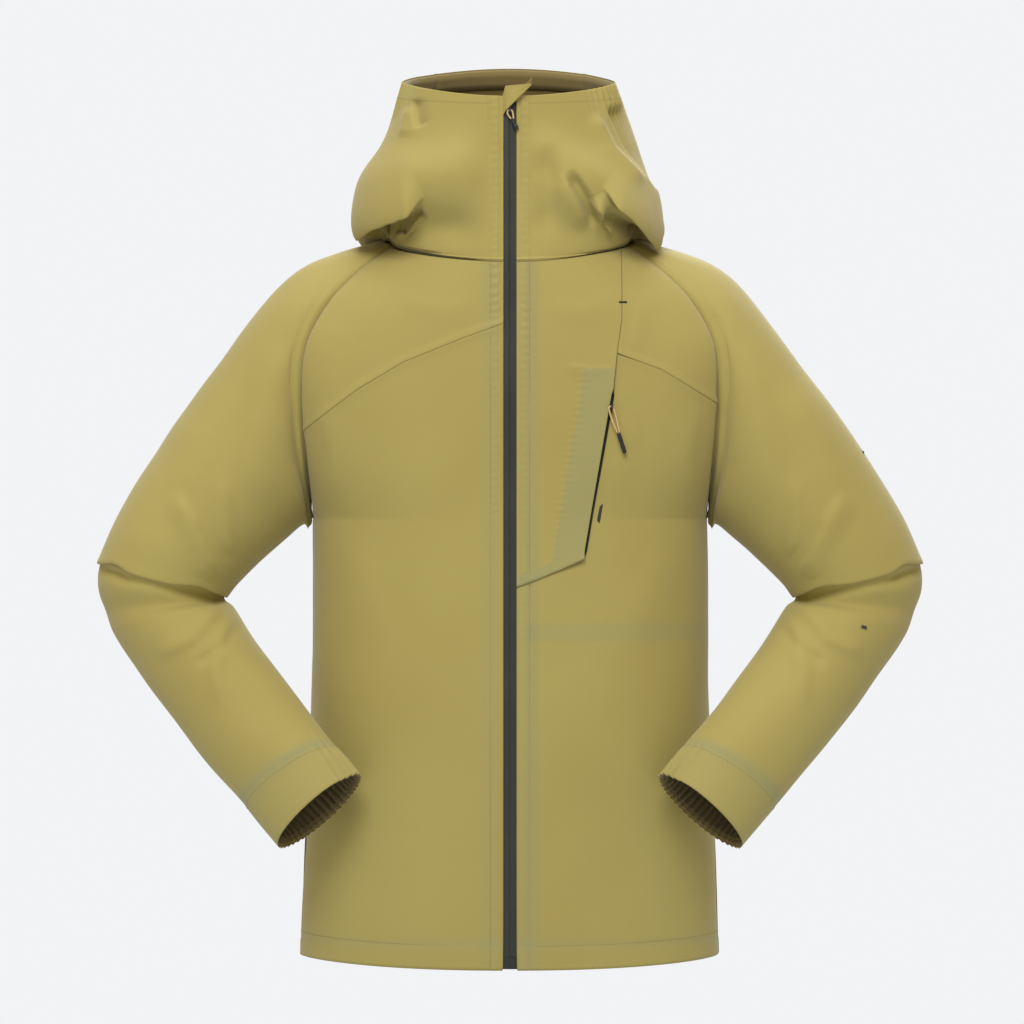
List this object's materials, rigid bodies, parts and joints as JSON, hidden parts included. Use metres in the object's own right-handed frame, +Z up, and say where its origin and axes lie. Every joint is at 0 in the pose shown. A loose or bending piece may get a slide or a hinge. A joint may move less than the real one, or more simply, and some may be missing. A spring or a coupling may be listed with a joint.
{
  "type": "hardshell jacket",
  "caption": "Hooded waterproof shell jacket, zipped up and filled out as worn, with raglan sleeves bent at the elbow, a full-length front zip and a slanted zipped chest pocket.",
  "frame": {"origin": "on the wearer's centre line, level with the neck seam at the zip", "axes": "+Z up, -Y to the front, +X to the wearer's left"},
  "size_m": [0.868, 0.366, 0.9469],
  "materials": {
    "shell_cloth": "matte",
    "lining_cloth": "matte",
    "zip_tape": "satin",
    "moulded_black": "satin",
    "tan_cord": "matte",
    "elastic": "matte"
  },
  "bodies": {
    "torso": {"left_pocket_panel": "shell_cloth", "left_yoke": "shell_cloth", "left_front_panel": "shell_cloth", "right_yoke": "shell_cloth", "right_front_panel": "shell_cloth", "back_panel": "shell_cloth", "left_sleeve_head": "shell_cloth", "right_sleeve_head": "shell_cloth", "hood_left_side": "shell_cloth", "hood_right_side": "shell_cloth", "hood_centre_panel": "shell_cloth", "hood_edge_facing": "lining_cloth", "hood_elastic_cord": "elastic", "hem_facing": "lining_cloth", "hem_drawcord": "elastic", "left_hem_cord_lock": "moulded_black", "right_hem_cord_lock": "moulded_black", "left_zip_tape": "zip_tape", "left_zip_coil": "moulded_black", "left_zip_stop": "moulded_black", "left_zip_facing": "lining_cloth", "right_zip_tape": "zip_tape", "right_zip_coil": "moulded_black", "right_zip_stop": "moulded_black", "right_zip_facing": "lining_cloth", "zip_box": "moulded_black", "zip_pin": "moulded_black", "storm_flap": "lining_cloth", "zip_garage": "shell_cloth", "pocket_zip_outer_tape": "zip_tape", "pocket_zip_outer_coil": "moulded_black", "pocket_zip_inner_tape": "zip_tape", "pocket_zip_inner_coil": "moulded_black", "pocket_bag": "lining_cloth", "pocket_bar_tack": "moulded_black", "hanger_loop": "shell_cloth", "neck_label": "lining_cloth"},
    "left_upper_arm": {"left_upper_sleeve": "shell_cloth", "left_upper_sleeve_tab": "moulded_black"},
    "right_upper_arm": {"right_upper_sleeve": "shell_cloth"},
    "left_forearm": {"left_forearm_sleeve": "shell_cloth", "left_cuff_facing": "lining_cloth", "left_cuff_elastic": "elastic", "left_forearm_tab": "moulded_black"},
    "right_forearm": {"right_forearm_sleeve": "shell_cloth", "right_cuff_facing": "lining_cloth", "right_cuff_elastic": "elastic"},
    "main_zip_slider": {"zip_slider": "moulded_black"},
    "main_zip_pull": {"zip_pull_cord": "tan_cord", "zip_pull_grip": "moulded_black"},
    "pocket_zip_slider": {"pocket_slider": "moulded_black"},
    "pocket_zip_pull": {"pocket_pull_cord": "tan_cord", "pocket_pull_grip": "moulded_black"},
    "left_lock_button": {"left_hem_lock_button": "moulded_black"},
    "right_lock_button": {"right_hem_lock_button": "moulded_black"}
  },
  "joints": [
    {"name": "left_shoulder", "type": "hinge", "parent": "torso", "child": "left_upper_arm", "pos_m": [0.243, 0, -0.1605], "axis": [0, -1, 0], "range_deg": [0, 25]},
    {"name": "left_elbow", "type": "hinge", "parent": "left_upper_arm", "child": "left_forearm", "pos_m": [0.365, -0.025, -0.331], "axis": [0, -1, 0], "range_deg": [0, 45]},
    {"name": "right_shoulder", "type": "hinge", "parent": "torso", "child": "right_upper_arm", "pos_m": [-0.243, 0, -0.1605], "axis": [0, 1, 0], "range_deg": [0, 25]},
    {"name": "right_elbow", "type": "hinge", "parent": "right_upper_arm", "child": "right_forearm", "pos_m": [-0.365, -0.025, -0.331], "axis": [0, 1, 0], "range_deg": [0, 45]},
    {"name": "main_zip", "type": "slide", "parent": "torso", "child": "main_zip_slider", "axis": [0, -0.04, -0.9992], "range_m": [0, 0.862]},
    {"name": "main_zip_pull_swing", "type": "hinge", "parent": "main_zip_slider", "child": "main_zip_pull", "pos_m": [0, -0.10944, 0.15608], "axis": [-1, 0, 0], "range_deg": [0, 80]},
    {"name": "pocket_zip", "type": "slide", "parent": "torso", "child": "pocket_zip_slider", "axis": [-0.172, -0.025, -0.9848], "range_m": [0, 0.15]},
    {"name": "pocket_zip_pull_swing", "type": "hinge", "parent": "pocket_zip_slider", "child": "pocket_zip_pull", "pos_m": [0.10521, -0.12108, -0.15136], "axis": [-0.9755, -0.1348, 0.1738], "range_deg": [0, 140]},
    {"name": "left_lock_button_press", "type": "slide", "parent": "torso", "child": "left_lock_button", "axis": [0, 0, -1], "range_m": [0, 0.003], "stiffness_N_per_m": 150, "springref_m": -0.002},
    {"name": "right_lock_button_press", "type": "slide", "parent": "torso", "child": "right_lock_button", "axis": [0, 0, -1], "range_m": [0, 0.003], "stiffness_N_per_m": 150, "springref_m": -0.002}
  ]
}
